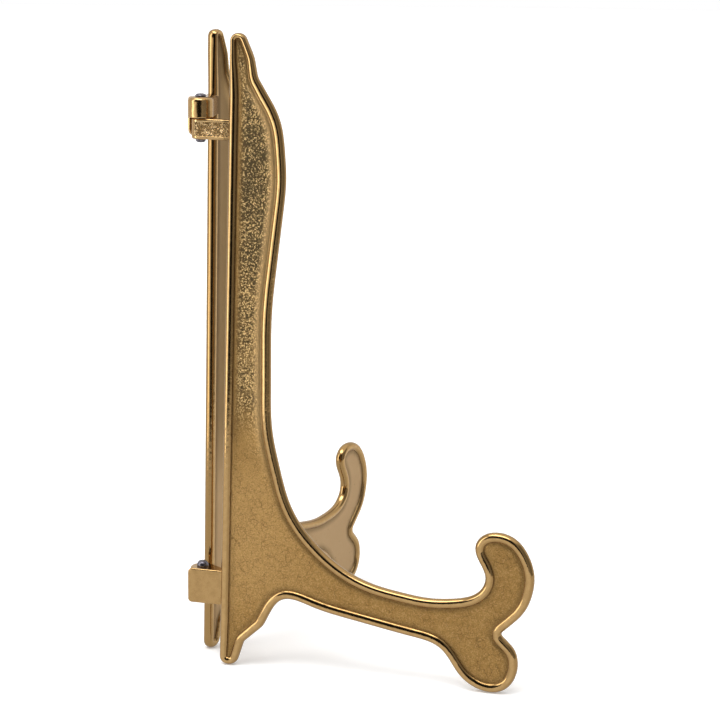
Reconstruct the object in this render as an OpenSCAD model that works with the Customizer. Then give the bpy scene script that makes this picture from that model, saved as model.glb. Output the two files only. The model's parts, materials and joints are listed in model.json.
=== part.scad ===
// Folding album stand: two mirror-image brass castings, riveted together at two hinges.
//
// Each leg is drawn in its own frame: u runs out from the hinge axis along the leg, n is square to
// the leg and points away from the other leg, and v is the height above the table. The hinge axis
// is u = 0, n = 0. The finished stand has X across, Y towards the back and Z up, with its origin
// under the middle of its box. It is drawn wide open, against its stops.

/* [Stand] */
// Height of the stand, and of each leg
stand_h = 248; // [235:1:262]
// Angle between the two legs when they are open against the stops
open_angle = 76.6; // [70:0.2:82]

/* [Leg casting] */
// Distance from the hinge axis to the middle of the leg's thickness
leg_offset = 4.4; // [4.2:0.1:5]
// Width of the raised rim that runs round the leg
rim_w = 3.6; // [3:0.1:4.2]
// Thickness of the leg over the crowns of its rim
rim_t = 4.2; // [3.8:0.1:4.4]
// Thickness of the rim at its outer edge
edge_t = 2.6; // [2.2:0.1:3]
// How far the rim's crown stands in from the edge on each side
crown_inset = 0.6; // [0.4:0.1:0.9]
// Thickness of the recessed web inside the rim
web_t = 2; // [1.4:0.1:2.2]

/* [Hinges] */
// Height of the split between the two knuckles of the upper hinge
upper_split = 215.3; // [210:0.1:220]
// Height of each knuckle of the upper hinge
upper_knuckle_h = 8; // [7:0.1:9]
// Height of the split between the two knuckles of the lower hinge
lower_split = 31; // [29:0.1:33]
// Height of each knuckle of the lower hinge
lower_knuckle_h = 7; // [6:0.1:8]
// Gap between the two knuckles of a hinge
knuckle_gap = 0.3; // [0.2:0.05:0.5]
// Radius of the hooded knuckle, which carries the stop wall
hood_r = 4.9; // [4.8:0.1:5.2]
// Thickness of the stop wall
wall_t = 1.1; // [0.9:0.1:1.2]
// How far the upper stop wall reaches past the hinge axis
upper_wall_reach = 1.8; // [1.4:0.1:2.4]
// How far the lower stop wall reaches past the hinge axis
lower_wall_reach = 4.6; // [4.2:0.1:5]
// Radius of the plain knuckle, the tongue
tongue_r = 3.5; // [3.3:0.1:3.5]
// Depth of the panel sunk into the upper tongue's outer face
panel_depth = 0.5; // [0.3:0.1:0.6]
// Width of the border left round that panel
panel_border = 1.3; // [1:0.1:1.6]
// How far the stop heel of the lower tongue reaches along the stop wall
heel_reach = 3.4; // [2.8:0.1:3.8]
// Gap left between the heel and the stop wall when the stand is open
stop_gap = 0.1; // [0.05:0.01:0.15]

/* [Rivet pins] */
// Radius of the rivet pins
pin_r = 1.5; // [1.4:0.05:1.6]
// Radial clearance of a pin in the right leg, which turns on it
pin_clearance = 0.05; // [0.02:0.01:0.08]
// Radial squeeze of a pin in the left leg, which grips it
pin_squeeze = 0.01; // [0.005:0.005:0.02]
// Radius of the upper pin's head
upper_head_r = 2.1; // [1.9:0.05:2.4]
// Height of the upper pin's head
upper_head_h = 1.2; // [1:0.1:1.6]
// Radius of the lower pin's head
lower_head_r = 2.3; // [2:0.05:2.6]
// Height of the lower pin's head
lower_head_h = 2.3; // [1.8:0.1:2.6]
// Radius of each pin's hammered lower end
tail_r = 2; // [1.8:0.05:2.3]
// Height of the upper pin's hammered end
upper_tail_h = 1.5; // [1.2:0.1:1.8]
// Height of the lower pin's hammered end
lower_tail_h = 0.9; // [0.8:0.1:1.2]

/* [Hidden] */

brass = "#b08d4f";
steel = "#4c4a4e";
drawn_h = 248;          // the height at which the outline below is drawn
arc_step = 10;          // degrees between points on the outline's arcs
overshoot = 1;          // how far a cut runs past the face it starts from
head_gap = 0.1;         // play between a rivet's head and the knuckle that turns under it
wall_corner_r = 3;      // rounding of the upper stop wall's lower corner
block_corner_r = 1.6;   // rounding of the lower stop wall's corners
heel_chamfer = 0.5;     // the corner taken off the stop heel
neck_bite = 0.1;        // how far a knuckle's neck runs into the leg
neck_reach = 2.9;       // where the neck ends on the rim, measured in from the back edge
buried_r = 0.2;         // rounding of the stop wall's corners inside the rim
wall_lift = 0.9;        // the upper stop wall ends this far above the tongue's lower face
wall_top_r = 1;         // rounding of the upper stop wall's upper corner
panel_end_r = 1.2;      // rounding of the sunk panel's outer corners
panel_root_r = 0.6;     // rounding of its corners beside the leg
panel_end_gap = 0.6;    // how much wider its border is at the tongue's round end
panel_root_gap = 0.9;   // how far it stays from the leg's back edge
head_lip = 0.3;         // radius added to a rivet's dome where it meets the knuckle
tail_lip = 0.2;         // radius added to its hammered end there
dome_step = 15;         // degrees between points on a rivet's dome

half_angle = open_angle / 2;
wall_in = hood_r - wall_t;                // distance from the hinge axis to the stop wall
heel_h = wall_in - stop_gap;              // distance from the hinge axis to the heel's face
leg_inner_n = leg_offset - rim_t / 2;     // the leg's inner face, at the rim's crown

// The leg's outline, as corners [u, v, rounding radius], anticlockwise from the back toe.
corners = [
    // back toe, with a short flat that stands on the table
    [8.8, 0, 3.3], [15.6, 0, 4.2],
    // the step behind the arch, and the arch's crown
    [18.9, 10, 2.2], [27, 17.2, 9], [34, 30.8, 6],
    // underside of the arm
    [52, 25.5, 60], [99, 17, 8],
    // front foot, with its own flat
    [107.5, 4, 10], [116.5, 0, 10], [127, 0, 9], [130.5, 16, 7],
    // the nick between the foot and the hook
    [122.3, 23.6, 1.2],
    // outside of the hook, and its scrolled end
    [132.5, 33, 12], [136.2, 48, 14], [128.5, 63, 10.5], [114, 63.5, 7.6], [110.4, 55, 6.5],
    // throat of the hook
    [118, 46, 4.5], [112.5, 37.5, 7],
    // ledge that the album stands on, sweeping up into the waist
    [95, 34.5, 40], [62, 39.5, 50], [38.5, 62, 45], [30, 96, 70],
    // waist, belly and shoulder
    [30, 142, 180], [36.3, 193, 60], [34.3, 216, 28],
    // neck and tip
    [24.7, 231.5, 8], [23.3, 239, 13], [19.4, 248, 3.2], [13.9, 248, 2.9]
];
// The web runs out to a point in the toe and in the tip, where the sides are too close for a flat end.
toe_point = [8.35, -22, 5];
tip_point = [14.1, 260.2, 4.5];
last = len(corners) - 1;
web_corners = concat([toe_point], [for (i = [2:last - 2]) corners[i]], [tip_point]);
k = stand_h / drawn_h;

function unit(v) = v / norm(v);

// The points of one rounded corner, between the sides that meet at b.
function corner_arc(a, b, c, r) =
    let (
        to_a = unit(a - b),
        to_c = unit(c - b),
        half = acos(to_a * to_c) / 2,
        centre = b + unit(to_a + to_c) * r / sin(half),
        start = b + to_a * r / tan(half) - centre,
        side = cross(to_a, to_c) < 0 ? 1 : -1,
        turn = side * (180 - 2 * half),
        steps = ceil(abs(turn) / arc_step)
    )
    [for (i = [0:steps]) centre + turned(start, turn * i / steps)];
function turned(v, angle) = [v.x * cos(angle) - v.y * sin(angle), v.x * sin(angle) + v.y * cos(angle)];
function flat(c) = [c.x, c.y];
function rounded(list) =
    let (n = len(list))
    [for (i = [0:n - 1])
        let (arc = corner_arc(flat(list[(i + n - 1) % n]), flat(list[i]), flat(list[(i + 1) % n]), list[i].z))
        each arc];

// The same corners after every side has moved inwards by d: the arcs stay concentric.
function inset(list, d) =
    let (n = len(list))
    [for (i = [0:n - 1])
        let (
            b = flat(list[i]),
            to_a = unit(flat(list[(i + n - 1) % n]) - b),
            to_c = unit(flat(list[(i + 1) % n]) - b),
            bulge = cross(to_c, to_a) > 0 ? 1 : -1,
            moved = b + bulge * unit(to_a + to_c) * d / sin(acos(to_a * to_c) / 2)
        )
        [moved.x, moved.y, list[i].z - bulge * d]];
function leg_line(list, d) = rounded(inset(list * k, d));

// Where the leg's back edge is at height v.
function back_edge(v) =
    let (low = corners[0] * k, high = corners[len(corners) - 1] * k)
    low.x + (high.x - low.x) * v / stand_h;

// Draws in the plane of the leg (u, v), and gives it a thickness t about n.
module slab(points, n, t) {
    translate([0, n, 0])
        rotate([90, 0, 0])
            linear_extrude(t, center = true)
                polygon(points);
}

// A flat casting with a raised rim on both faces and a recessed web between.
module leg_plate() {
    difference() {
        slab(leg_line(corners, 0), leg_offset, edge_t);
        for (side = [-1, 1])
            slab(leg_line(web_corners, rim_w), leg_offset + side * (web_t + edge_t) / 2, edge_t);
    }
    difference() {
        slab(leg_line(corners, crown_inset), leg_offset, rim_t);
        slab(leg_line(web_corners, rim_w - crown_inset), leg_offset, rim_t + 2 * overshoot);
    }
}

// Plan of a knuckle: round about the hinge axis, with a neck that runs into the leg's back edge.
function knuckle_points(r, v) =
    let (
        root = [back_edge(v) + neck_reach, leg_inner_n + neck_bite],
        touch = atan2(root.y, root.x) - acos(r / norm(root)),
        steps = ceil((270 + touch) / arc_step)
    )
    concat([for (i = [0:steps]) turned([0, r], (270 + touch) * i / steps)], [root, [root.x, r]]);

// One knuckle between two heights, bored for the pin.
module knuckle(r, low, high, bore_r) {
    difference() {
        translate([0, 0, low])
            linear_extrude(high - low)
                polygon(knuckle_points(r, low));
        translate([0, 0, low - overshoot])
            cylinder(r = bore_r, h = high - low + 2 * overshoot, $fn = 48);
    }
}

// The wall that hoods the other leg's tongue, from the leg's back edge to its free end.
module stop_wall(low, high, reach, corner_r, top_corner_r) {
    root_u = back_edge(low) + rim_w / 2;
    outline = rounded([
        [-reach, low, corner_r],
        [root_u, low, buried_r],
        [root_u, high, buried_r],
        [-reach, high, top_corner_r]
    ]);
    slab(outline, hood_r - wall_t / 2, wall_t);
}

// A square heel on the tongue's end. Its outer face meets the stop wall when the stand is open.
module stop_heel(low, high) {
    translate([0, 0, low])
        linear_extrude(high - low)
            rotate(180 - open_angle)
                polygon([
                    [0, 0], [heel_reach, 0], [heel_reach, heel_h - heel_chamfer],
                    [heel_reach - heel_chamfer, heel_h], [0, heel_h]
                ]);
}

// The sunk panel on the outer face of the upper tongue.
module tongue_panel() {
    low = upper_split - upper_knuckle_h + panel_border;
    high = upper_split - knuckle_gap / 2 - panel_border;
    end_u = panel_border + panel_end_gap - tongue_r;
    root_u = back_edge(low) - panel_root_gap;
    outline = rounded([
        [end_u, low, panel_end_r], [root_u, low, panel_root_r],
        [root_u, high, panel_root_r], [end_u, high, panel_end_r]
    ]);
    slab(outline, tongue_r, 2 * panel_depth);
}

// The left leg: a tongue at the upper hinge and a hood at the lower one. It grips both pins.
module left_leg_casting() {
    grip_r = pin_r - pin_squeeze;
    leg_plate();
    difference() {
        knuckle(tongue_r, upper_split - upper_knuckle_h, upper_split - knuckle_gap / 2, grip_r);
        tongue_panel();
    }
    knuckle(hood_r, lower_split + knuckle_gap / 2, lower_split + lower_knuckle_h, grip_r);
    stop_wall(lower_split - lower_knuckle_h, lower_split + lower_knuckle_h, lower_wall_reach,
              block_corner_r, block_corner_r);
}

// The right leg: a hood at the upper hinge and a heeled tongue at the lower one. It turns on both pins.
module right_leg_casting() {
    turning_r = pin_r + pin_clearance;
    heel_top = lower_split - knuckle_gap / 2;
    leg_plate();
    knuckle(hood_r, upper_split + knuckle_gap / 2, upper_split + upper_knuckle_h, turning_r);
    stop_wall(upper_split - upper_knuckle_h + wall_lift, upper_split + upper_knuckle_h,
              upper_wall_reach, wall_corner_r, wall_top_r);
    difference() {
        union() {
            knuckle(tongue_r, lower_split - lower_knuckle_h, heel_top, turning_r);
            stop_heel(lower_split - lower_knuckle_h, heel_top);
        }
        translate([0, 0, lower_split - lower_knuckle_h - overshoot])
            cylinder(r = turning_r, h = lower_knuckle_h + 2 * overshoot, $fn = 48);
    }
}

// A rivet: a domed head, a straight shank and a hammered end, turned about the hinge axis.
module rivet_pin(low, high, head_r, head_h, tail_h) {
    dome = [for (a = [0:dome_step:90])
        [(head_r - head_lip) * sin(a) + (a == 90 ? head_lip : head_lip / 2), high + head_h * cos(a)]];
    tail = [for (a = [90:-dome_step:0])
        [(tail_r - tail_lip) * sin(a) + (a == 90 ? tail_lip : tail_lip / 2), low - tail_h * cos(a)]];
    rotate_extrude($fn = 48)
        polygon(concat([[0, high + head_h]], dome, [[pin_r, high], [pin_r, low]], tail, [[0, low - tail_h]]));
}

// Puts the hinge axis where it belongs in the finished stand.
module in_stand() {
    reach_u = max([for (p = leg_line(corners, 0)) p.x]);
    front_y = min(
        -cos(half_angle) * reach_u + sin(half_angle) * (leg_offset - edge_t / 2),
        -cos(half_angle) * (reach_u - crown_inset) + sin(half_angle) * leg_inner_n
    );
    back_y = cos(half_angle) * lower_wall_reach + sin(half_angle) * hood_r;
    translate([0, -(front_y + back_y) / 2, 0])
        children();
}

module left_leg() {
    color(brass)
        in_stand()
            rotate([0, 0, -90 - half_angle])
                mirror([0, 1, 0])
                    left_leg_casting();
}

module right_leg() {
    color(brass)
        in_stand()
            rotate([0, 0, -90 + half_angle])
                right_leg_casting();
}

module upper_hinge_pin() {
    color(steel)
        in_stand()
            rivet_pin(upper_split - upper_knuckle_h, upper_split + upper_knuckle_h + head_gap,
                      upper_head_r, upper_head_h, upper_tail_h);
}

module lower_hinge_pin() {
    color(steel)
        in_stand()
            rivet_pin(lower_split - lower_knuckle_h - head_gap, lower_split + lower_knuckle_h,
                      lower_head_r, lower_head_h, lower_tail_h);
}

left_leg();
right_leg();
upper_hinge_pin();
lower_hinge_pin();
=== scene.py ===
# %% [markdown]
# # A folding album stand in cast brass
#
# Two flat brass castings, mirror images of each other, are riveted together along their back edges.
# Opened like a book, they stand on two toes and two feet, and an album rests on the arms behind the
# hooks.
#
# This script builds the finished surfaces over the working model: round rims, grained webs, pillowy
# hinge lugs and hammered rivets. Lengths are in millimetres until the last step of each piece, which
# turns them into metres in the model's own frame.

# %% Load the working model
import json
import math
from types import SimpleNamespace

import bmesh
import bpy
import numpy as np
from mathutils import Matrix, Quaternion, Vector, noise
from mathutils.geometry import delaunay_2d_cdt


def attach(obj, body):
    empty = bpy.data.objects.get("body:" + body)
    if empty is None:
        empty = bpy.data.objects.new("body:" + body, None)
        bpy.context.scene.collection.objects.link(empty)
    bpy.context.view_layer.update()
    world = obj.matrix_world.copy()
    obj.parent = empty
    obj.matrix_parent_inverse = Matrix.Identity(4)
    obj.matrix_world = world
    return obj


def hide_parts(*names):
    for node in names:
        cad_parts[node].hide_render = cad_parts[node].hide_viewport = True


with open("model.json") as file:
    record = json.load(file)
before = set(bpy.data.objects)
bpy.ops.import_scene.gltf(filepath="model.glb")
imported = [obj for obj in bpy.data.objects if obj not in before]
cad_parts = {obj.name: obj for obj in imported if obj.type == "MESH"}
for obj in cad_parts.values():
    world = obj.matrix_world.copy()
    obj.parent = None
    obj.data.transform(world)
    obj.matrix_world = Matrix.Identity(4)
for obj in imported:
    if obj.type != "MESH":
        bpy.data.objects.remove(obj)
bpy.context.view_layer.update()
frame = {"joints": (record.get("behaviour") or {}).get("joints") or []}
MM = 0.001
hinge = frame["joints"][0]
HINGE = Vector((hinge["pos_m"][0], hinge["pos_m"][1], 0)) / MM     # foot of the hinge axis
OPEN_ANGLE = 76.6                                                  # degrees between the legs

# %% [markdown]
# ## The leg's outline
#
# The pattern for the casting is a flat board cut to a flowing outline: a long back edge, a rounded
# tip, a shoulder and waist, an arm that sweeps out to a hook, and a foot under the hook. It could be
# one long curve of handles, but a designer would draw a few corners, each with its own rounding, and
# those are easy to read and to change. u runs out from the hinge axis, v is the height above the
# table, and the third number is the rounding.

# %% Outline corners
CORNERS = [
    (8.8, 0, 3.3), (15.6, 0, 4.2),                                    # back toe
    (18.9, 10, 2.2), (27, 17.2, 9), (34, 30.8, 6),                    # step and arch
    (52, 25.5, 60), (99, 17, 8),                                      # underside of the arm
    (107.5, 4, 10), (116.5, 0, 10), (127, 0, 9), (130.5, 16, 7),      # front foot
    (122.3, 23.6, 1.2),                                               # nick above the foot
    (132.5, 33, 12), (136.2, 48, 14), (128.5, 63, 10.5),              # outside of the hook
    (114, 63.5, 7.6), (110.4, 55, 6.5),                               # scrolled end
    (118, 46, 4.5), (112.5, 37.5, 7),                                 # throat
    (95, 34.5, 40), (62, 39.5, 50), (38.5, 62, 45), (30, 96, 70),     # ledge, sweeping up
    (30, 142, 180), (36.3, 193, 60), (34.3, 216, 28),                 # waist, belly, shoulder
    (24.7, 231.5, 8), (23.3, 239, 13), (19.4, 248, 3.2), (13.9, 248, 2.9),   # neck and tip
]
STAND_H = CORNERS[-1][1]
print("outline drawn from", len(CORNERS), "corners,", STAND_H, "mm high")

# %% Round the corners
ARC_STEP = math.radians(9)      # widest turn between two points of a rounding


def arc_at(corner, radius, to_last, to_next, gap):
    """The points of one corner's rounding, between unit vectors towards its neighbours."""
    half = math.acos(max(-1, min(1, float(to_last @ to_next)))) / 2
    middle = (to_last + to_next) / np.linalg.norm(to_last + to_next)
    centre = corner + middle * radius / math.sin(half)
    start = corner + to_last * radius / math.tan(half) - centre
    cross = to_last[0] * to_next[1] - to_last[1] * to_next[0]
    turn = math.copysign(math.pi - 2 * half, -cross)
    steps = max(math.ceil(abs(turn) / ARC_STEP), math.ceil(abs(turn) * radius / gap))
    points = []
    for i in range(steps + 1):
        c, s = math.cos(turn * i / steps), math.sin(turn * i / steps)
        points.append(centre + (start[0] * c - start[1] * s, start[0] * s + start[1] * c))
    return points


def rounded(corners, gap):
    """The closed outline through these corners, as points no further apart than gap."""
    corners = np.array(corners, float)
    flat, radius = corners[:, :2], corners[:, 2]
    to_last = np.roll(flat, 1, 0) - flat
    to_next = np.roll(flat, -1, 0) - flat
    to_last /= np.linalg.norm(to_last, axis=1)[:, None]
    to_next /= np.linalg.norm(to_next, axis=1)[:, None]
    line = []
    for i in range(len(flat)):
        line += arc_at(flat[i], radius[i], to_last[i], to_next[i], gap)
    full = []
    for a, b in zip(line, line[1:] + line[:1]):
        pieces = max(1, math.ceil(np.linalg.norm(b - a) / gap - 0.01))
        full += [a + (b - a) * i / pieces for i in range(pieces)]
    return np.array(full)


print("rounded outline:", len(rounded(CORNERS, 1)), "points at 1 mm")

# %% [markdown]
# ## The carver's rasp
#
# Arcs joined to straights look drafted, because the curvature jumps where they meet, and a polished
# bead shows every jump as a kink in its highlight. A carver would run a rasp along the edge until it
# flows. Here that is a low-pass filter along the outline, which keeps the slow curves as they are and
# blends the joins. The few spots that are meant to be crisp are left out of it.

# %% Let the outline flow
POINT_GAP = 0.85       # distance between points along the outline
RASP_REACH = 5.0       # how far along the edge the rasp blends
SHARP_SPOTS = [        # where the rasp stops, and how near to it
    ((122.3, 23.6), 4),     # nick above the foot
    ((14, 2), 10),          # toe
    ((20, 11), 9),          # step above the toe
    ((16.5, 248), 5),       # tip
    ((24, 236), 6),         # neck
]
SHARP_FADE = 9         # distance over which the rasp starts again


def outward(line):
    """A unit vector pointing out of the outline at each of its points."""
    along = np.roll(line, -1, 0) - np.roll(line, 1, 0)
    out = np.c_[along[:, 1], -along[:, 0]]
    return out / np.linalg.norm(out, axis=1)[:, None]


def flowing(line):
    """The outline in equal steps, with its flats and arcs run together."""
    closed = np.vstack([line, line[:1]])
    run = np.r_[0, np.cumsum(np.linalg.norm(np.diff(closed, axis=0), axis=1))]
    count = int(run[-1] / POINT_GAP)
    at = np.linspace(0, run[-1], count, endpoint=False)
    line = np.c_[np.interp(at, run, closed[:, 0]), np.interp(at, run, closed[:, 1])]
    wave = np.fft.fftfreq(count, run[-1] / count) * 2 * math.pi
    soft = np.exp(-(wave * RASP_REACH) ** 2 / 2)
    smooth = np.fft.ifft(np.fft.fft(line, axis=0) * (1 - (1 - soft) ** 2)[:, None], axis=0).real
    kept = np.zeros(count)
    for point, near in SHARP_SPOTS:
        away = np.linalg.norm(line - np.array(point), axis=1)
        kept = np.maximum(kept, 1 - np.clip((away - near) / SHARP_FADE, 0, 1))
    line = line * kept[:, None] + smooth * (1 - kept[:, None])
    line[:, 1] = np.clip(line[:, 1], 0, STAND_H)
    return line


OUTLINE = flowing(rounded(CORNERS, POINT_GAP / 2))
OUTWARD = outward(OUTLINE)
print("outline:", len(OUTLINE), "points,", OUTLINE.min(0).round(1), "to", OUTLINE.max(0).round(1))

# %% Measure from the outline
BATCH = 2000           # points measured at once, to spare memory


def depth_inside(points):
    """Each point's distance to the outline."""
    a, b = OUTLINE, np.roll(OUTLINE, -1, 0)
    side = b - a
    length2 = (side ** 2).sum(1)
    depth = np.empty(len(points))
    for start in range(0, len(points), BATCH):
        p = points[start:start + BATCH, None, :]
        t = np.clip(((p - a) * side).sum(2) / length2, 0, 1)
        nearest = a + t[..., None] * side
        depth[start:start + BATCH] = np.sqrt(((nearest - p) ** 2).sum(2)).min(1)
    return depth


def within(points):
    """Whether each point is inside the outline, by counting the sides that a level line crosses."""
    a, b = OUTLINE, np.roll(OUTLINE, -1, 0)
    u, v = points[:, :1], points[:, 1:]
    spans = (a[:, 1] > v) != (b[:, 1] > v)
    with np.errstate(divide="ignore", invalid="ignore"):
        crossing = a[:, 0] + (v - a[:, 1]) * (b[:, 0] - a[:, 0]) / (b[:, 1] - a[:, 1])
    return (spans & (u < crossing)).sum(1) % 2 == 1


belly_middle = np.array([[24.0, 190.0]])
print("in the belly, inside:", within(belly_middle)[0], "depth", depth_inside(belly_middle).round(1)[0])

# %% [markdown]
# ## The leg's section
#
# Sand casting leaves a round bead along every edge and a thinner web between, on both faces. The bead
# could be a curve swept round the edge, but it would cut through itself at the nick and the toe. So
# the section is given as half the thickness at each distance in from the edge, and every point of the
# leg takes its thickness from how deep inside the outline it lies. Where the leg narrows to a tip or a
# toe the pattern maker thinned the bead, so a depth is counted in local bead widths.
#
# The web isn't flat. High up, where the leg is broad, it is dished: it comes up gently towards the
# beads. That is what makes one side of it catch the light and the other fall dark.

# %% Section of the rim and web
LEG_OFFSET = 4.4       # hinge axis to the middle of the leg's thickness
CREST = 1.75           # edge to the bead's highest line
RIM_W = 3.6            # edge to the valley where the bead meets the web
CREST_T = 2.1          # half thickness at the crest
VALLEY_T = 0.9         # half thickness in the valley
LIP = 0.25             # how much the web stands above the valley beside it
LIP_W = 1.1            # distance over which it comes up out of the valley
DISH_SLOPE = 0.19      # slope of the dished web where it starts
DISH_W = 7.5           # distance over which the dish levels out
FOOT_DISH = 0.12       # share of the dish that is left in the foot
TIP_THIN = 0.38        # share of the bead's width lost at the tip
TOE_THIN = 0.1         # and at the toe


def ease(value, low, high):
    """0 below low, 1 above high, and a smooth rise between."""
    t = np.clip((value - low) / (high - low), 0, 1)
    return t * t * (3 - 2 * t)


def bead_scale(points):
    """How wide the bead is at a point, next to its usual width."""
    u, v = points[:, 0], points[:, 1]
    tip = TIP_THIN * ease(v, 222, 246)
    toe = TOE_THIN * (1 - ease(v, 2, 20)) * (1 - ease(u, 18, 34))
    return 1 - tip - toe


def half_thickness(depth, v):
    """Half the leg's thickness at a depth, counted in bead widths, and a height."""
    outer = CREST_T * np.sqrt(np.clip(1 - ((CREST - depth) / CREST) ** 2, 0, 1))
    fall = np.clip((depth - CREST) / (RIM_W - CREST), 0, 1)
    inner = VALLEY_T + (CREST_T - VALLEY_T) * np.sqrt(1 - fall ** 2)
    beyond = np.clip(depth - RIM_W, 0, None)
    slope = DISH_SLOPE * (FOOT_DISH + (1 - FOOT_DISH) * ease(v, 62, 120))
    run = np.clip(beyond, 0, DISH_W)
    web = VALLEY_T + LIP * ease(beyond, 0, LIP_W) - slope * (run - run * run / (2 * DISH_W))
    return np.where(depth < CREST, outer, np.where(depth < RIM_W, inner, web))


sample = np.array([0.5, CREST, RIM_W, RIM_W + LIP_W, RIM_W + DISH_W])
print("half thickness in the belly:", half_thickness(sample, np.full(5, 190.0)).round(2))

# %% [markdown]
# ## Fill the outline
#
# Triangles that run along the bead shade it cleanly, and triangles that cut across it show as
# facets. So rings of points follow the outline inwards, close together where the section bends, and
# an even grid fills the web. A triangulation that must keep the rings' edges joins them all.

# %% Rings along the bead and a grid in the web
GRID_STEP = 1.4
ROW_STEP = GRID_STEP * 0.87     # rows of near-equilateral triangles
LAST_RING = 1.8                 # the innermost ring, in lip widths
GRID_CLEAR = 0.6                # between the innermost ring and the grid


def ring_depths():
    """Depths of the rings of points, close together where the section bends."""
    outer = [CREST * (1 - math.cos(math.radians(a))) for a in (0, 12, 26, 40, 54, 68, 80, 90)]
    inner = [CREST + (RIM_W - CREST) * math.sin(math.radians(a))
             for a in (12, 26, 40, 54, 66, 76, 84, 90)]
    web = [RIM_W + LIP_W * part for part in (0.25, 0.55, 1, LAST_RING)]
    return outer + inner + web


def ring_at(depth):
    """The outline moved in by a depth, and which of its points are truly that deep."""
    scale = bead_scale(OUTLINE)
    ring = OUTLINE - OUTWARD * depth * scale[:, None]
    if depth == 0:
        return ring, np.ones(len(ring), bool)
    return ring, within(ring) & (depth_inside(ring) > depth * scale * 0.99 - 0.03)


def web_grid():
    low, high = OUTLINE.min(0), OUTLINE.max(0)
    points = []
    for j, v in enumerate(np.arange(low[1], high[1], ROW_STEP)):
        shift = (j % 2) * GRID_STEP / 2
        points += [(u + shift, v) for u in np.arange(low[0], high[0], GRID_STEP)]
    grid = np.array(points)
    grid = grid[within(grid)]
    clear = (RIM_W + LIP_W * LAST_RING) * bead_scale(grid) + GRID_CLEAR
    return grid[depth_inside(grid) > clear]


def flat_mesh():
    """The leg's outline, filled with triangles that follow its rings."""
    points, edges = [], []
    for depth in ring_depths():
        ring, kept = ring_at(depth)
        number = {}
        for i in np.flatnonzero(kept):
            number[i] = len(points)
            points.append(ring[i])
        for i in number:
            after = (i + 1) % len(ring)
            if after in number and np.linalg.norm(ring[after] - ring[i]) < 3 * POINT_GAP:
                edges.append((number[i], number[after]))
    points += list(web_grid())
    border = [list(range(len(OUTLINE)))]
    made = delaunay_2d_cdt([Vector(p) for p in points], edges, border, 1, 1e-4)
    return np.array([tuple(v) for v in made[0]]), [f for f in made[2] if len(f) == 3]


FLAT, TRIANGLES = flat_mesh()
DEPTH = depth_inside(FLAT) / bead_scale(FLAT)
DEPTH[DEPTH < 1e-3] = 0
print("leg pattern:", len(FLAT), "points,", len(TRIANGLES), "triangles a face")

# %% [markdown]
# ## Small lies of the hand
#
# A pattern is carved by hand, rammed into sand, and the casting is fettled with a file and a mop.
# So the rim is never quite even, and the web rolls a little. Two soft noises do that, a tenth of a
# millimetre or so, well under anything that would read as damage.

# %% Turn the flat pattern into a leg
RIM_WANDER = 0.07      # how much the bead's height wanders
WEB_ROLL = 0.09        # how much the web's face rolls


def cast_noise(u, v, seed, size):
    return noise.noise(Vector((u / size, v / size, seed * 7.3)))


def uneven(depth, half, u, v, seed, side):
    """Half the thickness at a point, once the hand has been over it."""
    on_web = min(1, max(0, (depth - RIM_W) / LIP_W))
    on_bead = min(1, depth / CREST) * (1 - on_web)
    wander = RIM_WANDER * cast_noise(u, v, seed + side, 9) * on_bead
    slow, quick = cast_noise(u, v, seed + 5 * side, 14), cast_noise(u, v, seed - side, 5)
    roll = WEB_ROLL * (slow + 0.5 * quick) * on_web
    return min(CREST_T, half - abs(wander) + roll)


def leg_casting(seed):
    """One leg's plate, in its own frame: x is u, y is n (away from the other leg) and z is v."""
    bm = bmesh.new()
    depth_layer = bm.verts.layers.float.new("depth")
    half = half_thickness(DEPTH, FLAT[:, 1])
    edge = {}
    for i in np.flatnonzero(DEPTH == 0):
        edge[i] = bm.verts.new((FLAT[i][0], LEG_OFFSET, FLAT[i][1]))
    for side in (1, -1):
        row = []
        for i, (u, v) in enumerate(FLAT):
            if i in edge:
                row.append(edge[i])
                continue
            out = side * uneven(DEPTH[i], half[i], u, v, seed, side)
            row.append(bm.verts.new((u, LEG_OFFSET + out, v)))
            row[-1][depth_layer] = DEPTH[i]
        for a, b, c in TRIANGLES:
            corners = (row[a], row[b], row[c])
            bm.faces.new(corners[::-1] if side > 0 else corners)
    return bm


plate = leg_casting(1)
print("leg plate:", len(plate.verts), "points,", len(plate.faces), "faces")
plate.free()

# %% [markdown]
# ## Hinge lugs
#
# Each leg carries two lugs, cast in one piece with it. One of each pair is a hood: a round knuckle
# with a thin wall that reaches over the other leg's knuckle. The other is a plain tongue. On the
# bench they are only broken out of the sand and tumbled, so every corner is soft.
#
# A bevel would round the edges evenly, but where a knuckle runs into a wall there is a fillet too. So
# each lug is put together from solids whose ends are already round, then fused by a fine remesh and
# smoothed a little, which fills the inner corners as well.

# %% Lug sizes
UPPER_SPLIT = 215.3    # height where the upper hinge's two knuckles meet
UPPER_H = 8.0          # height of each upper knuckle
LOWER_SPLIT = 31.0     # height where the lower hinge's two knuckles meet
LOWER_H = 7.0          # height of each lower knuckle
KNUCKLE_GAP = 0.3      # between two knuckles
HOOD_R = 4.9           # hinge axis to the outside of a hood
WALL_T = 1.1           # thickness of a hood's wall
WALL_SHORT = 0.9       # how far the upper hood's wall stops above the tongue's lower end
TONGUE_R = 3.5         # radius of a tongue's knuckle
PIN_R = 1.5
GRIP_R = PIN_R - 0.01          # the left leg grips the rivets
TURNING_R = PIN_R + 0.05       # the right leg turns on them
UPPER_LOW, LOWER_LOW = UPPER_SPLIT - UPPER_H, LOWER_SPLIT - LOWER_H


def back_edge(v):
    """How far the leg's back edge is from the hinge axis, at a height."""
    return CORNERS[0][0] + (CORNERS[-1][0] - CORNERS[0][0]) * v / STAND_H


print("back edge:", round(back_edge(LOWER_SPLIT), 1), "mm out at the lower hinge,",
      round(back_edge(UPPER_SPLIT), 1), "at the upper")

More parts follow.
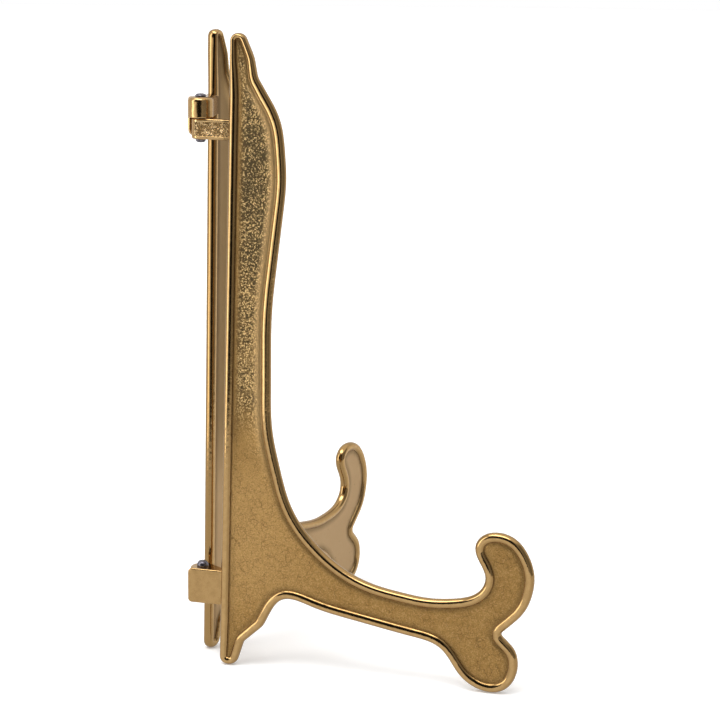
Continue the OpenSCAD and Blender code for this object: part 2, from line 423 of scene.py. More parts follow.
# %% Solids with pillowed ends
def knuckle_plan(r, v):
    """Plan of a knuckle: round about the hinge axis, with a neck into the leg's back edge."""
    root = (back_edge(v) + RIM_W * 0.8, LEG_OFFSET - CREST_T + 0.1)
    touch = math.degrees(math.atan2(root[1], root[0]) - math.acos(r / math.hypot(*root)))
    plan = []
    for i in range(41):
        a = math.radians(90 + (270 + touch) * i / 40)
        plan.append((r * math.cos(a), r * math.sin(a)))
    return np.array(plan + [root, (root[0], r)])


def facing_out(bm):
    bmesh.ops.recalc_face_normals(bm, faces=bm.faces)
    if bm.calc_volume(signed=True) < 0:
        bmesh.ops.reverse_faces(bm, faces=bm.faces)
    return bm


def pillow(plan, low, high, low_r, high_r, steps=7):
    """A plan drawn up between two heights, with its two ends rounded over like a pillow's."""
    rings = []
    for end, r, inward in ((low, low_r, 1), (high, high_r, -1)):
        turns = [math.pi / 2 * i / steps for i in range(steps + 1)]
        rings += [(end + inward * r * (1 - math.cos(a)), r * (1 - math.sin(a))) for a in turns[::inward]]
    away = outward(plan)
    bm = bmesh.new()
    rows = [[bm.verts.new((x, y, z)) for x, y in plan - away * inset] for z, inset in rings]
    bm.faces.new(rows[0][::-1])
    bm.faces.new(rows[-1])
    for a, b in zip(rows, rows[1:]):
        for i in range(len(plan)):
            j = (i + 1) % len(plan)
            bm.faces.new((a[i], a[j], b[j], b[i]))
    return facing_out(bm)


def on_the_face(bm):
    """Turns what was drawn up from a plan so that it stands out of the leg's face."""
    swap = Matrix(((1, 0, 0, 0), (0, 0, 1, 0), (0, 1, 0, 0), (0, 0, 0, 1)))
    bmesh.ops.transform(bm, matrix=swap, verts=bm.verts)
    return facing_out(bm)


trial = pillow(knuckle_plan(TONGUE_R, UPPER_LOW), 0, UPPER_H, 0.8, 0.6)
print("a tongue's solid:", len(trial.verts), "points,", round(trial.calc_volume()), "cubic mm")
trial.free()

# %% [markdown]
# ## Fusing, drilling and tumbling
#
# Booleans join and drill the solids while they are still crisp. The remesh afterwards makes one even
# skin of them, whose grid is fine enough to keep a wall of one millimetre, and the smoothing rubs the
# edges down. The rivet holes are drilled before the skin, so their rims are worn like the rest.

# %% Bench tools
OVERSHOOT = 1          # how far a drill runs past each end
LARGE_VOXEL, FINE_VOXEL = 0.2, 0.16


def to_mesh(bm, name):
    mesh = bpy.data.meshes.new(name)
    bm.to_mesh(mesh)
    bm.free()
    return mesh


def as_object(bm, name):
    obj = bpy.data.objects.new(name, to_mesh(bm, name))
    bpy.context.scene.collection.objects.link(obj)
    return obj


def applied(obj):
    """The object with its modifiers made permanent."""
    bpy.context.view_layer.update()
    mesh = bpy.data.meshes.new_from_object(obj.evaluated_get(bpy.context.evaluated_depsgraph_get()))
    obj.modifiers.clear()
    obj.data = mesh
    return obj


def combine(obj, other, operation):
    """A boolean between two objects, applied to the first. The second one is used up."""
    step = obj.modifiers.new(operation, "BOOLEAN")
    step.operation, step.object, step.solver = operation, other, "MANIFOLD"
    applied(obj)
    bpy.data.objects.remove(other)
    return obj


def bore(obj, r, low, high):
    bm = bmesh.new()
    depth = high - low + 2 * OVERSHOOT
    bmesh.ops.create_cone(bm, cap_ends=True, segments=48, radius1=r, radius2=r, depth=depth)
    bmesh.ops.translate(bm, verts=bm.verts, vec=(0, 0, (low + high) / 2))
    return combine(obj, as_object(bm, "drill"), "DIFFERENCE")


def cast_skin(obj, voxel, rounds):
    """Fuses the pieces of one lug and rubs its edges down, as tumbling does."""
    step = obj.modifiers.new("fused", "REMESH")
    step.mode, step.voxel_size = "VOXEL", voxel
    step = obj.modifiers.new("tumbled", "SMOOTH")
    step.factor, step.iterations = 0.5, rounds
    return applied(obj)


print("skin grids:", LARGE_VOXEL, "and", FINE_VOXEL, "mm")

# %% Hoods
def wall(low, high, reach, low_corner, high_corner):
    """The plate that stands over the other leg's tongue, soft on its outer edges."""
    root = back_edge(low) + RIM_W / 2
    corners = [(-reach, low, low_corner), (root, low, 0.2),
               (root, high, 0.2), (-reach, high, high_corner)]
    bm = pillow(rounded(corners, 0.5), HOOD_R - WALL_T, HOOD_R, 0.12, 0.5, steps=5)
    return as_object(on_the_face(bm), "wall")


def hood(name, span, knuckle_low, bore_r, corner_r, reach, wall_corners):
    """A round knuckle, and the wall that hangs from it. span is the wall's lowest and highest point."""
    low, high = span
    plan = knuckle_plan(HOOD_R, low)
    knuckle = as_object(pillow(plan, knuckle_low, high, 0.35, corner_r), name)
    knuckle = combine(knuckle, wall(low, high, reach, *wall_corners), "UNION")
    return cast_skin(bore(knuckle, bore_r, knuckle_low, high), LARGE_VOXEL, 3)


def upper_hood():
    span = (UPPER_LOW + WALL_SHORT, UPPER_SPLIT + UPPER_H)
    return hood("upper_hood", span, UPPER_SPLIT + KNUCKLE_GAP / 2, TURNING_R, 1.7, 1.8, (3, 1.4))


def lower_hood():
    span = (LOWER_LOW, LOWER_SPLIT + LOWER_H)
    return hood("lower_hood", span, LOWER_SPLIT + KNUCKLE_GAP / 2, GRIP_R, 0.9, 4.6, (1.6, 1.9))


print("hood walls reach", LOWER_H, "and", UPPER_H - WALL_SHORT, "mm below their knuckles")

# %% [markdown]
# ## Tongues
#
# The upper tongue shows most. Its outer face has a raised, rounded border round a sunk panel with a
# rough floor, plain here. The lower tongue is hidden behind its hood, but it ends in a square
# shoulder, and that is what stops the stand at its open angle.

# %% Tongues
PANEL_DEPTH = 0.5
PANEL_START = -1.2     # the panel's end past the hinge axis
BORDER = 1.1           # width of the raised border above and below
HEEL_REACH = 3.4
HEEL_GAP = 0.1         # between heel and wall when the stand is open
HEEL_CHAMFER = 0.5


def sunk_panel(obj):
    low, high = UPPER_LOW + BORDER + KNUCKLE_GAP / 2, UPPER_SPLIT - KNUCKLE_GAP / 2 - BORDER - 0.05
    root = back_edge(low) - 0.6
    corners = [(PANEL_START, low, 1.3), (root, low, 0.6), (root, high, 0.6), (PANEL_START, high, 1.3)]
    bm = pillow(rounded(corners, 0.4), TONGUE_R - PANEL_DEPTH, TONGUE_R + 1, 0.15, 0.05, steps=3)
    return combine(obj, as_object(on_the_face(bm), "panel"), "DIFFERENCE")


def upper_tongue():
    plan, high = knuckle_plan(TONGUE_R, UPPER_LOW), UPPER_SPLIT - KNUCKLE_GAP / 2
    body = as_object(pillow(plan, UPPER_LOW, high, 0.8, 0.6), "upper_tongue")
    return cast_skin(sunk_panel(bore(body, GRIP_R, UPPER_LOW, UPPER_SPLIT)), FINE_VOXEL, 2)


def heel(low, high):
    """The square shoulder that meets the other leg's wall when the stand opens."""
    height = HOOD_R - WALL_T - HEEL_GAP
    plan = [(0, 0), (HEEL_REACH, 0), (HEEL_REACH, height - HEEL_CHAMFER),
            (HEEL_REACH - HEEL_CHAMFER, height), (0, height)]
    turn = Matrix.Rotation(math.radians(180 - OPEN_ANGLE), 2)
    turned = np.array([tuple(turn @ Vector(p)) for p in plan])
    return as_object(pillow(turned, low, high, 0.001, 0.001, steps=1), "heel")


def lower_tongue():
    plan, high = knuckle_plan(TONGUE_R, LOWER_LOW), LOWER_SPLIT - KNUCKLE_GAP / 2
    body = as_object(pillow(plan, LOWER_LOW, high, 0.7, 0.3), "lower_tongue")
    body = combine(body, heel(LOWER_LOW, high), "UNION")
    return cast_skin(bore(body, TURNING_R + 0.05, LOWER_LOW, LOWER_SPLIT), LARGE_VOXEL, 3)


LUGS = {"left_leg": (upper_tongue, lower_hood), "right_leg": (upper_hood, lower_tongue)}
print("lugs:", {leg: [make.__name__ for make in makes] for leg, makes in LUGS.items()})

# %% [markdown]
# ## Put each leg in its place
#
# The two castings are mirror images, set at half the opening angle either side of the middle. The
# lugs stay separate shells inside the same piece, sunk into the rim as they are on the real casting.
# Two things are stored at every point for the finish to use: its depth inside the outline, and its
# place on the pattern, which doesn't change when the leg is turned or mirrored.

# %% Make one leg
def leg_matrix(leg):
    """From a leg's own frame, in mm, to the stand's frame, in metres."""
    side = -1 if leg == "left_leg" else 1
    turn = Matrix.Rotation(math.radians(-90 + side * OPEN_ANGLE / 2), 4, "Z")
    return Matrix.Scale(MM, 4) @ Matrix.Translation(HINGE) @ turn @ Matrix.Diagonal((1, side, 1, 1))


def add_lug(bm, lug):
    """Adds a lug's mesh as a shell with the second finish, and uses the lug up."""
    depth_layer = bm.verts.layers.float["depth"]
    faces, verts = len(bm.faces), len(bm.verts)
    bm.from_mesh(lug.data)
    bm.faces.ensure_lookup_table()
    bm.verts.ensure_lookup_table()
    for face in bm.faces[faces:]:
        face.material_index = 1
    for vert in bm.verts[verts:]:
        vert[depth_layer] = CREST
    bpy.data.objects.remove(lug)


def build_leg(leg, seed, casting_finish, lug_finish):
    bm = leg_casting(seed)
    for make in LUGS[leg]:
        add_lug(bm, make())
    pattern = bm.verts.layers.float_vector.new("pattern")
    for vert in bm.verts:
        vert[pattern] = vert.co
    bmesh.ops.transform(bm, matrix=leg_matrix(leg), verts=bm.verts)
    if leg == "left_leg":
        bmesh.ops.reverse_faces(bm, faces=bm.faces)     # the mirror turned them inside out
    for face in bm.faces:
        face.smooth = True
    obj = as_object(bm, leg + "_casting")
    obj.data.materials.append(casting_finish)
    obj.data.materials.append(lug_finish)
    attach(obj, leg)
    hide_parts(leg)
    print(obj.name, len(obj.data.vertices), "points")
    return obj


print("left leg's back toe at", tuple(round(x, 4) for x in leg_matrix("left_leg") @ Vector(CORNERS[0])))

# %% [markdown]
# ## Rivets
#
# Each rivet is black steel wire with a domed head. The other end is hammered over on the bench, so
# its dome is flatter, and both carry dents. The profile is turned round the hinge axis, ring by ring,
# and a slow noise lifts and lowers the ends. The shank stays true, because the legs turn on it.

# %% Make one rivet
AROUND = 48            # points round a rivet
DOME_STEPS = 8
DENT, SINK = 0.09, 0.05     # depth of the dents, and how far the ends are beaten in


def dome(edge, radius, height, out, round_off, skirt):
    """Rings of one end, from its middle out to its rim."""
    rings = []
    for i in range(DOME_STEPS + 1):
        a = math.pi / 2 * i / DOME_STEPS
        rise = skirt + (1 - skirt) * math.cos(a)
        rings.append((radius * math.sin(a) ** round_off, edge + out * height * rise))
    return rings


def build_pin(name, span, head, tail, seed, steel):
    """A rivet between two heights. head and tail are each a radius and a height."""
    low, high = span
    rings = dome(high, *head, 1, 0.75, 0.12)
    rings += [(head[0], high + 0.02), (PIN_R, high), (PIN_R, low), (tail[0] * 0.96, low - 0.02)]
    rings += dome(low, *tail, -1, 0.6, 0.15)[::-1]
    bm = bmesh.new()
    rows = []
    for r, z in rings:
        row = []
        for j in range(AROUND):
            b = 2 * math.pi * j / AROUND
            x, y = r * math.cos(b), r * math.sin(b)
            lift = 0
            if not low - 0.01 <= z <= high + 0.01:
                dent = DENT * noise.noise(Vector((x * 1.1, y * 1.1, seed * 3.1 + z * 0.2)))
                lift = (dent - SINK) * (1 if z > high else -1)
            row.append(bm.verts.new((x, y, z + lift)))
        rows.append(row)
    for a, b in zip(rows, rows[1:]):
        for j in range(AROUND):
            k = (j + 1) % AROUND
            bm.faces.new((a[j], b[j], b[k], a[k]))
    bmesh.ops.remove_doubles(bm, verts=bm.verts, dist=1e-4)
    bmesh.ops.recalc_face_normals(bm, faces=bm.faces)
    bmesh.ops.transform(bm, matrix=Matrix.Scale(MM, 4) @ Matrix.Translation(HINGE), verts=bm.verts)
    for face in bm.faces:
        face.smooth = True
    obj = as_object(bm, name + "_rivet")
    obj.data.materials.append(steel)
    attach(obj, "left_leg")
    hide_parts(name)
    print(obj.name, len(obj.data.vertices), "points")
    return obj


print("a dome's rings:", [tuple(round(x, 1) for x in ring) for ring in dome(0, 2, 1, 1, 0.75, 0.12)][::4])

# %% [markdown]
# ## Node helpers
#
# Every finish here is worked out from the depth and the place stored in the mesh, so it needs no
# picture and no unwrapping. A few small helpers keep the node trees readable: one adds a node and
# wires its inputs, and the others are its usual forms.

# %% Small helpers for node trees
class Tree:
    """A node tree with short ways to add what this script uses."""

    def __init__(self, owner):
        owner.use_nodes = True
        self.nodes, self.links = owner.node_tree.nodes, owner.node_tree.links

    def feed(self, socket, value):
        if isinstance(value, bpy.types.NodeSocket):
            self.links.new(value, socket)
        else:
            socket.default_value = value

    def add(self, kind, *values, **settings):
        made = self.nodes.new("ShaderNode" + kind)
        for key, value in settings.items():
            setattr(made, key, value)
        for socket, value in zip(made.inputs, values):
            self.feed(socket, value)
        return made

    def named(self, kind, values, **settings):
        """A node whose inputs are given by name."""
        made = self.add(kind, **settings)
        for name, value in values.items():
            self.feed(made.inputs[name], value)
        return made

    def math(self, operation, *values):
        return self.add("Math", *values, operation=operation).outputs[0]

    def times(self, result, *others):
        for other in others:
            result = self.math("MULTIPLY", result, other)
        return result

    def plus(self, a, b):
        return self.math("ADD", a, b)

    def minus(self, a, b):
        return self.math("SUBTRACT", a, b)

    def rise(self, value, low, high, start=0.0, end=1.0):
        """start below low, end above high, and a smooth rise between."""
        made = self.add("MapRange", value, low, high, start, end, interpolation_type="SMOOTHSTEP")
        return made.outputs["Result"]

    def band(self, value, low, high, soft):
        """1 between low and high, falling off over soft on each side."""
        up = self.rise(value, low - soft, low + soft)
        return self.times(up, self.rise(value, high - soft, high + soft, 1.0, 0.0))

    def mix(self, factor, a, b):
        return self.named("Mix", {"Factor": factor, "A": a, "B": b}, data_type="FLOAT").outputs[0]

    def blend(self, factor, a, b):
        made = self.named("Mix", {"Factor": factor, "A": a, "B": b}, data_type="RGBA")
        return next(out for out in made.outputs if out.type == "RGBA")

    def stain(self, tint, stain, strength, *masks):
        """A tint with another laid over it, where the masks say and as strongly as is said."""
        return self.blend(self.times(strength, *masks), tint, stain)

    def grain(self, where, scale, detail=3.0, rough=0.55, twist=0.0):
        values = {"Vector": where, "Scale": scale, "Detail": detail, "Roughness": rough, "Distortion": twist}
        return self.named("TexNoise", values, noise_dimensions="3D").outputs[0]

    def emboss(self, shader, relief):
        """Turns a relief, in metres, into the shader's bump."""
        bump = self.named("Bump", {"Strength": 1.0, "Distance": 1.0, "Height": relief})
        self.feed(shader.inputs["Normal"], bump.outputs["Normal"])


def metal(name):
    """A new metal, its tree and its shader."""
    mat = bpy.data.materials.new(name)
    t = Tree(mat)
    shader = t.nodes["Principled BSDF"]
    shader.inputs["Metallic"].default_value = 1.0
    return mat, t, shader


def colour(r, g, b):
    return (r, g, b, 1.0)


print("node helpers:", [name for name in vars(Tree) if not name.startswith("_")])

# %% [markdown]
# ## Colours of brass
#
# All of these are one alloy. What changes is how far it was rubbed, how much lacquer and dirt lies on
# it, and how sheltered it is. Some of them are also painted light and shade: the bead's darker sides,
# the bright front margin of the upper web, and the dark laid in creases and beside the rim. A metal's
# colour is the tint of what it reflects, so the darkest of them are nearly black and the brightest are
# still well below white.

# %% Brass colours
POLISHED = colour(0.64, 0.41, 0.175)       # brass rubbed bright
HANDLED = colour(0.56, 0.35, 0.145)        # the same, dulled by fingers
PAINTED_SHADE_FLANK = colour(0.43, 0.265, 0.105)         # painted shade: the bead's sides, darker than its crest
SATIN = colour(0.51, 0.295, 0.095)         # the web, dulled by its lacquer
SATIN_LOW = colour(0.46, 0.26, 0.082)      # the same, where the lacquer is thick
WORN = colour(0.63, 0.38, 0.14)            # the same, where it has worn thin
FLECK = colour(0.86, 0.56, 0.24)           # bright points in the satin
FRONT_PAINTED_HIGHLIGHT = colour(0.86, 0.57, 0.26)      # painted highlight along the upper web's front margin
PALE = colour(0.41, 0.27, 0.125)           # the sheltered inner faces
PALE_FOOT = colour(0.64, 0.44, 0.235)      # the same, lower down
GRAIN_TOP = colour(0.33, 0.205, 0.08)      # tops of the coarse grain
SPARKLE = colour(0.88, 0.60, 0.26)         # the tops that were rubbed
DIRT_AND_PAINTED_SHADE = colour(0.16, 0.095, 0.035)     # dirt in specks, hair cracks, pits and the sunk panel's floor, and painted shade in the crease by the bead, on the web inside the rim, on the upper web's back margin and where a lug meets the leg
PATINA = colour(0.085, 0.068, 0.038)       # green-black antiquing in the cast grain
print("from", [round(x, 2) for x in PATINA[:3]], "to", [round(x, 2) for x in SPARKLE[:3]])

# %% [markdown]
# ## Cast brass
#
# The real finish is antiqued: the casting was blackened, then rubbed back. So the beads are bright
# and smooth, and in the coarse sand grain of the upper web the hollows stay green-black while the tops
# of the grains sparkle. Lower down the web is satin, and its lacquer has shrunk into fine hair cracks
# with a few pits. The inner faces, which polish never reached, are paler and duller. Shade and light
# are painted in as well: a dark line in the crease where bead and web meet, darker sides on the beads,
# the web darkened beside the rim and along the back of the upper web, and a lighter front margin
# there as a painted highlight.
#
# Three separate materials would meet in hard lines, which a casting doesn't have. One material with
# soft masks lets the zones run into each other, and a little noise on each mask breaks its edge up.

# %% Where each zone of the casting lies
def zones(t):
    """Masks for the parts of a casting, from the depth and the place stored in its mesh."""
    depth = t.add("Attribute", attribute_name="depth").outputs["Fac"]
    where = t.add("Attribute", attribute_name="pattern").outputs["Vector"]
    u, n, v = t.add("SeparateXYZ", where).outputs
    deep = t.plus(depth, t.times(t.minus(t.grain(where, 0.35, 2), 0.5), 0.5))
    ragged_v = t.plus(v, t.times(t.grain(where, 0.05, 2), 40.0))
    web = t.rise(deep, 3.1, 3.9)
    outer = t.rise(n, LEG_OFFSET - 0.4, LEG_OFFSET + 0.4)
    upper = t.rise(v, 70, 110)
    return SimpleNamespace(
        where=where, u=u, v=v, deep=deep, ragged_v=ragged_v, web=web, outer=outer,
        coarse=t.times(t.rise(ragged_v, 98, 136), t.rise(deep, 3.9, 6.0), outer),
        # front and back: the upper web's margins by the front and back beads, painted lighter (painted
        # highlight) and darker (painted shade)
        front=t.times(t.rise(u, 18, 25), upper, t.rise(deep, 8.2, 4.2)),
        back=t.times(t.rise(u, 23, 17), upper, t.rise(deep, 7.5, 4.5)),
        crest=t.band(deep, 1.0, 2.6, 0.5),
        # the crease where bead meets web and the web just inside the rim are painted darker: painted shade
        valley=t.band(deep, 3.42, 3.72, 0.22),
        rim_shade=t.rise(deep, 6.6, 3.7),
    )


print("zones are measured on a web that starts", RIM_W, "mm from the edge")

# %% The coarse grain of the sand, and what lies in its hollows
def add_sand(t, at):
    cells = t.named("TexVoronoi", {"Vector": at.where, "Scale": 1.35, "Randomness": 1.0}, feature="SMOOTH_F1")
    bumps = t.minus(0.75, cells.outputs["Distance"])
    fine = t.grain(at.where, 2.3, 3, 0.65)
    at.sand = t.plus(t.times(bumps, 0.7), t.times(fine, 0.9))
    belly = t.times(t.rise(at.ragged_v, 150, 205), t.rise(at.deep, 3.9, 8.0))
    dirt_level = t.plus(t.times(t.grain(at.where, 0.11, 3, 0.6), 0.55), t.times(belly, 0.2))
    at.hollow = t.times(t.rise(t.minus(at.sand, dirt_level), 0.52, 0.14), 0.88)
    at.sparkle = t.rise(t.plus(at.sand, t.times(fine, 0.5)), 0.94, 1.12)


print("sand grains about", round(1 / 1.35, 2), "mm across")

# %% Hair cracks and pits in the satin part
def add_cracks(t, at):
    stir = t.named("TexNoise", {"Vector": at.where, "Scale": 0.45, "Detail": 4.0}, noise_dimensions="3D")
    shift = t.add("VectorMath", stir.outputs["Color"], (2.4, 2.4, 2.4), operation="MULTIPLY")
    bent = t.add("VectorMath", at.where, shift.outputs[0], operation="ADD").outputs[0]
    cracks = t.named("TexVoronoi", {"Vector": bent, "Scale": 0.36}, feature="DISTANCE_TO_EDGE")
    hair = t.rise(cracks.outputs["Distance"], 0.045, 0.006)
    where_cracked = t.rise(t.grain(at.where, 0.16, 3), 0.42, 0.6)
    at.hair = t.times(hair, at.web, where_cracked, t.rise(at.ragged_v, 130, 105), at.outer)
    dots = t.named("TexVoronoi", {"Vector": at.where, "Scale": 0.42}, feature="F1")
    where_pitted = t.rise(t.grain(at.where, 0.3, 1), 0.5, 0.6)
    at.pit = t.times(t.rise(dots.outputs["Distance"], 0.13, 0.05), at.web, where_pitted)


print("cracked plates about", round(1 / 0.36, 1), "mm across")

# %% Colour of the web
def satin_tint(t, at):
    """The lacquered web of the outer face."""
    tint = t.blend(t.rise(at.cloud, 0.3, 0.75), SATIN, SATIN_LOW)
    tint = t.stain(tint, WORN, 0.75, t.rise(at.u, 62, 22), t.band(at.v, 28, 82, 14))
    speck = t.grain(at.where, 2.1, 3, 0.7)
    tint = t.stain(tint, DIRT_AND_PAINTED_SHADE, 0.6, t.rise(speck, 0.5, 0.7))
    return t.stain(tint, FLECK, 0.45, t.rise(speck, 0.5, 0.32))


def web_tint(t, at):
    pale = t.blend(t.rise(at.v, 95, 60), PALE, PALE_FOOT)
    face = t.blend(at.outer, pale, satin_tint(t, at))
    grained = t.blend(at.hollow, t.blend(at.sparkle, GRAIN_TOP, SPARKLE), PATINA)
    tint = t.blend(at.coarse, face, grained)
    # painted highlight on the upper web's front margin, painted shade on its back margin
    tint = t.stain(tint, FRONT_PAINTED_HIGHLIGHT, 0.75, at.front, at.web)
    tint = t.stain(tint, DIRT_AND_PAINTED_SHADE, 0.45, at.back, at.web)
    tint = t.stain(tint, DIRT_AND_PAINTED_SHADE, 0.62, at.hair)
    tint = t.stain(tint, DIRT_AND_PAINTED_SHADE, 0.6, at.pit)
    # painted shade on the web just inside the rim
    return t.stain(tint, DIRT_AND_PAINTED_SHADE, 0.42, at.rim_shade, at.web)


def bead_tint(t, at):
    handled = t.rise(t.grain(at.where, 0.5, 3), 0.35, 0.7)
    # the crest keeps the rubbed brass; the bead's sides take a darker colour, which is painted shade
    return t.blend(at.crest, PAINTED_SHADE_FLANK, t.blend(handled, POLISHED, HANDLED))


print("the bead's crest is rubbed to", POLISHED[:3], "and its sides to", PAINTED_SHADE_FLANK[:3])

# %% Gloss and relief
def casting_gloss(t, at):
    satin = t.plus(0.36, t.times(at.cloud, 0.12))
    satin = t.plus(satin, t.times(t.minus(1.0, at.outer), 0.1))
    grained = t.plus(0.34, t.times(at.hollow, 0.26))
    bead = t.plus(0.07, t.times(t.grain(at.where, 0.8, 3), 0.12))
    return t.mix(at.web, bead, t.mix(at.coarse, satin, grained))


def casting_relief(t, at):
    """Height in metres: the web's tooth, the coarse grain, less cracks and pits, and a slow wave."""
    relief = t.times(t.grain(at.where, 2.6, 3, 0.65), at.web, 0.00013)
    relief = t.plus(relief, t.times(at.sand, at.coarse, 0.00042))
    relief = t.minus(relief, t.times(at.hair, 0.00005))
    relief = t.minus(relief, t.times(at.pit, 0.00006))
    return t.plus(relief, t.times(t.grain(at.where, 0.4, 1), 0.00005))


def cast_brass():
    mat, t, shader = metal("antiqued_cast_brass")
    at = zones(t)
    at.cloud = t.grain(at.where, 0.16, 4, 0.6)
    add_sand(t, at)
    add_cracks(t, at)
    tint = t.blend(at.web, bead_tint(t, at), web_tint(t, at))
    # painted shade: a dark line in the crease where bead and web meet
    t.feed(shader.inputs["Base Color"], t.stain(tint, DIRT_AND_PAINTED_SHADE, 0.68, at.valley))
    t.feed(shader.inputs["Roughness"], casting_gloss(t, at))
    t.emboss(shader, casting_relief(t, at))
    return mat


casting_finish = cast_brass()
print("casting finish:", len(casting_finish.node_tree.nodes), "nodes")

# %% [markdown]
# ## Lug brass
#
# The lugs were tumbled, so they are nearly as bright as the beads and a little wavy. Grime sits on
# the floor of the sunk panel, where the sand's grain was never rubbed away. Where a lug runs into the
# leg it is painted darker, as painted shade. The panel's raised border and the other outer faces of
# the upper lugs are painted brighter: partly the rubbing they took, partly a painted highlight.

# %% The lugs' finish
LUG_BRIGHT = colour(0.57, 0.36, 0.15)
LUG_DULL = colour(0.49, 0.305, 0.125)
# the raised border and the upper lugs' outer faces: partly rubbed brass, partly a painted highlight
BORDER_RUB_AND_HIGHLIGHT = colour(0.80, 0.55, 0.26)
PANEL_GLINT = colour(0.95, 0.72, 0.40)


def lug_brass():
    mat, t, shader = metal("tumbled_lug_brass")
    where = t.add("Attribute", attribute_name="pattern").outputs["Vector"]
    u, n, v = t.add("SeparateXYZ", where).outputs
    low, high = UPPER_LOW + 1.2, UPPER_SPLIT - 1.3
    floor_n = t.band(n, TONGUE_R - 0.75, TONGUE_R - 0.24, 0.1)
    sunk = t.times(t.band(v, low, high, 0.12), floor_n, t.band(u, -1.4, 12.8, 0.2))
    sand = t.grain(where, 1.15, 3, 0.6, 0.6)
    # the border mask covers the tongue's raised border and the upper lugs' outer faces, painted brighter:
    # partly rubbing, partly painted highlight
    border = t.times(t.rise(n, TONGUE_R - 0.24, TONGUE_R - 0.1), t.rise(v, low - 1.0, low))
    # root: where the lug runs into the leg, painted darker as shade
    root = t.rise(u, back_edge(100) - 0.9, back_edge(100) + 0.1)
    tint = t.blend(t.rise(t.grain(where, 0.5, 3), 0.35, 0.7), LUG_BRIGHT, LUG_DULL)
    tint = t.stain(tint, BORDER_RUB_AND_HIGHLIGHT, 0.8, border)
    tint = t.stain(tint, DIRT_AND_PAINTED_SHADE, 0.7, sunk, t.rise(sand, 0.56, 0.44))
    tint = t.stain(tint, PANEL_GLINT, 0.9, sunk, t.rise(sand, 0.5, 0.62))
    t.feed(shader.inputs["Base Color"], t.stain(tint, DIRT_AND_PAINTED_SHADE, 0.6, root))
    gloss = t.plus(0.1, t.times(t.grain(where, 0.9, 3), 0.14))
    t.feed(shader.inputs["Roughness"], t.plus(gloss, t.times(sunk, 0.06)))
    relief = t.times(t.grain(where, 0.4, 1), 0.0001)
    relief = t.plus(relief, t.times(t.grain(where, 2.4, 3), 0.00002))
    t.emboss(shader, t.plus(relief, t.times(sand, sunk, 0.0011)))
    return mat


lug_finish = lug_brass()
print("lug finish:", len(lug_finish.node_tree.nodes), "nodes")

# %% [markdown]
# ## Rivet steel
#
# The dents are in the mesh. The finish adds a dark, slightly purple oxide that is rubbed lighter in
# spots, and a fine roughness from the hammer's face.

# %% The rivets' finish
OXIDE = colour(0.075, 0.07, 0.085)
BARE_STEEL = colour(0.24, 0.225, 0.25)


def rivet_steel():
    mat, t, shader = metal("black_rivet_steel")
    where = t.add("TexCoord").outputs["Object"]
    mottle = t.grain(where, 900.0, 3, 0.6)
    t.feed(shader.inputs["Base Color"], t.blend(t.rise(mottle, 0.4, 0.66), OXIDE, BARE_STEEL))
    t.feed(shader.inputs["Roughness"], t.plus(0.22, t.times(mottle, 0.2)))
    t.emboss(shader, t.times(t.grain(where, 1300.0, 2), 0.00006))
    return mat


steel = rivet_steel()
print("rivet finish:", len(steel.node_tree.nodes), "nodes")

# %% Build the four pieces
build_leg("left_leg", 1, casting_finish, lug_finish)
build_leg("right_leg", 2, casting_finish, lug_finish)
upper_span = (UPPER_LOW, UPPER_SPLIT + UPPER_H + 0.1)
lower_span = (LOWER_LOW - 0.1, LOWER_SPLIT + LOWER_H)
build_pin("upper_hinge_pin", upper_span, (2.1, 1.2), (2.0, 1.5), 1, steel)
build_pin("lower_hinge_pin", lower_span, (2.3, 2.3), (2.0, 0.9), 2, steel)

# %% [markdown]
# ## Camera
#
# The stand is seen from its left and slightly behind, from a little above, through a long lens. A
# short lens close by would make the near leg loom over the far one.

# %% Camera
CAMERA_AT = (Vector((-831.6, 262.3, 294.5)) + HINGE) * MM
LOOK_AT = (Vector((-39.8, -50.5, 125.3)) + HINGE) * MM
LENS = 113.9
ROLL = 0.52            # degrees

camera = bpy.data.objects.new("camera", bpy.data.cameras.new("camera"))
bpy.context.scene.collection.objects.link(camera)
camera.data.lens = LENS
camera.data.sensor_width = 36
camera.data.clip_start = 0.05
camera.location = CAMERA_AT
look = (LOOK_AT - CAMERA_AT).to_track_quat("-Z", "Y")
camera.rotation_euler = (look @ Quaternion((0, 0, 1), math.radians(ROLL))).to_euler()
bpy.context.scene.camera = camera
print("camera", round((LOOK_AT - CAMERA_AT).length, 3), "m from the stand")

# %% [markdown]
# ## A white studio
#
# Polished brass shows nothing of its own: it shows the room. In a studio it stands in a white tent
# with a broad light overhead and one tall strip behind, and the dark opening that the lens looks
# through draws the thin black line along every bead. Lamps would do for a dull object, but here the
# room itself is made, in the world's shader, as a few soft-edged patches. Each is given by compass
# direction and height in degrees. To the camera the backdrop is plain white.

# %% The room that the brass reflects
WALLS = 0.80           # brightness of the tent's white walls
BACKDROP = 1.0         # brightness of the backdrop that the camera sees
FULL_TURN = 360
ROOM = [
    # compass from, to, height from, to, softness, brightness
    (-180, 180, 50, 91, 8, 1.1),        # the tent's roof, lit from outside
    (168, 181, -91, 44, 7, 0.26),       # the tent's near side, in shade
    (-181, -105, -91, 44, 7, 0.26),
    (97, 114, -45, 6, 5, 1.35),         # spill beside the strip light
    (126, 170, -28, 44, 4, 0.010),      # the opening that the lens looks through
    (104, 170, 4, 44, 4, 0.010),
    (60, 200, 56, 77, 4, 6.0),          # soft box over the opening
    (81, 97, -40, 40, 4, 3.6),          # the strip light
]


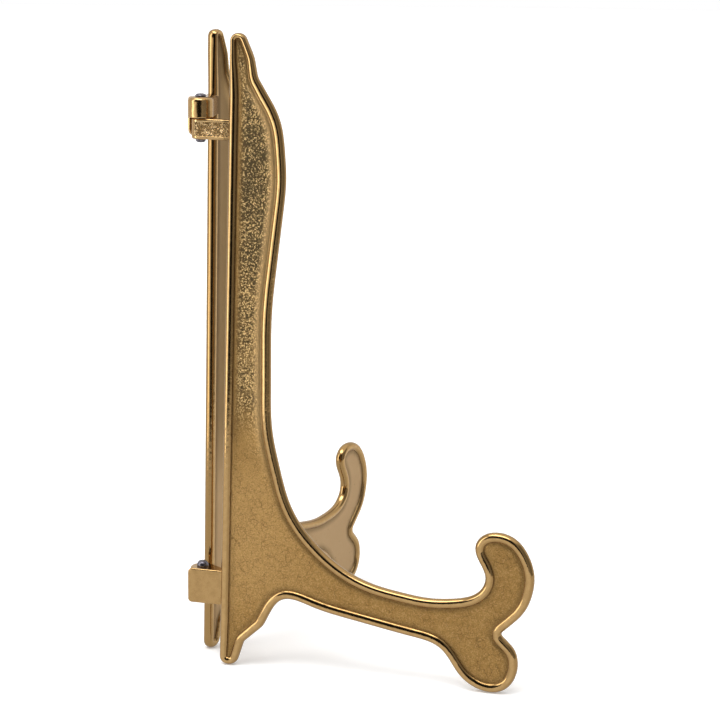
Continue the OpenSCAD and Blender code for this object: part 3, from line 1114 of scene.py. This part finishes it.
def studio():
    world = bpy.data.worlds.new("studio")
    bpy.context.scene.world = world
    t = Tree(world)
    x, y, z = t.add("SeparateXYZ", t.add("TexCoord").outputs["Generated"]).outputs
    compass = t.times(t.math("ARCTAN2", y, x), 180 / math.pi)
    height = t.times(t.math("ARCSINE", z), 180 / math.pi)
    level = WALLS
    for az0, az1, el0, el1, soft, bright in ROOM:
        patch = t.band(height, el0, el1, soft)
        if az1 - az0 < FULL_TURN:
            patch = t.times(t.band(compass, az0, az1, soft), patch)
        level = t.mix(patch, level, bright)
    seen = t.add("LightPath").outputs["Is Camera Ray"]
    sky = t.nodes["Background"]
    sky.inputs["Color"].default_value = (1, 1, 1, 1)
    t.feed(sky.inputs["Strength"], t.mix(seen, level, BACKDROP))
    return world


world = studio()
print("studio:", len(ROOM), "patches,", len(world.node_tree.nodes), "nodes")

# %% [markdown]
# ## Floor and table
#
# The floor is white paper that runs out to the horizon. Its faint glow keeps it as white as the
# backdrop, so that only the soft shadow under the stand shows. Mirrored in the low beads, though, a
# real tent shows the edge of the small grey table that the stand is on, so a second disc is there for
# reflections only.

# %% The floor, and the small table that the brass reflects
FLOOR_R, TABLE_R = 6, 0.45
TABLE_DROP = 0.0003


def disc(name, radius, material, shade):
    """A matt grey disc, and its shader."""
    bm = bmesh.new()
    bmesh.ops.create_circle(bm, cap_ends=True, radius=radius, segments=96)
    obj = as_object(bm, name)
    mat = bpy.data.materials.new(material)
    mat.use_nodes = True
    shader = mat.node_tree.nodes["Principled BSDF"]
    shader.inputs["Base Color"].default_value = colour(shade, shade, shade)
    shader.inputs["Roughness"].default_value = 1
    obj.data.materials.append(mat)
    return obj, shader


floor, paper = disc("floor", FLOOR_R, "white_paper", 0.95)
paper.inputs["Emission Color"].default_value = (1, 1, 1, 1)
paper.inputs["Emission Strength"].default_value = 0.2
floor.visible_glossy = floor.visible_shadow = False

table, card = disc("table_top", TABLE_R, "table_card", 0.6)
table.location.z = -TABLE_DROP
table.visible_camera = table.visible_diffuse = False

bpy.context.scene.view_settings.view_transform = "Standard"
print("floor", 2 * FLOOR_R, "m across, table", 2 * TABLE_R, "m")
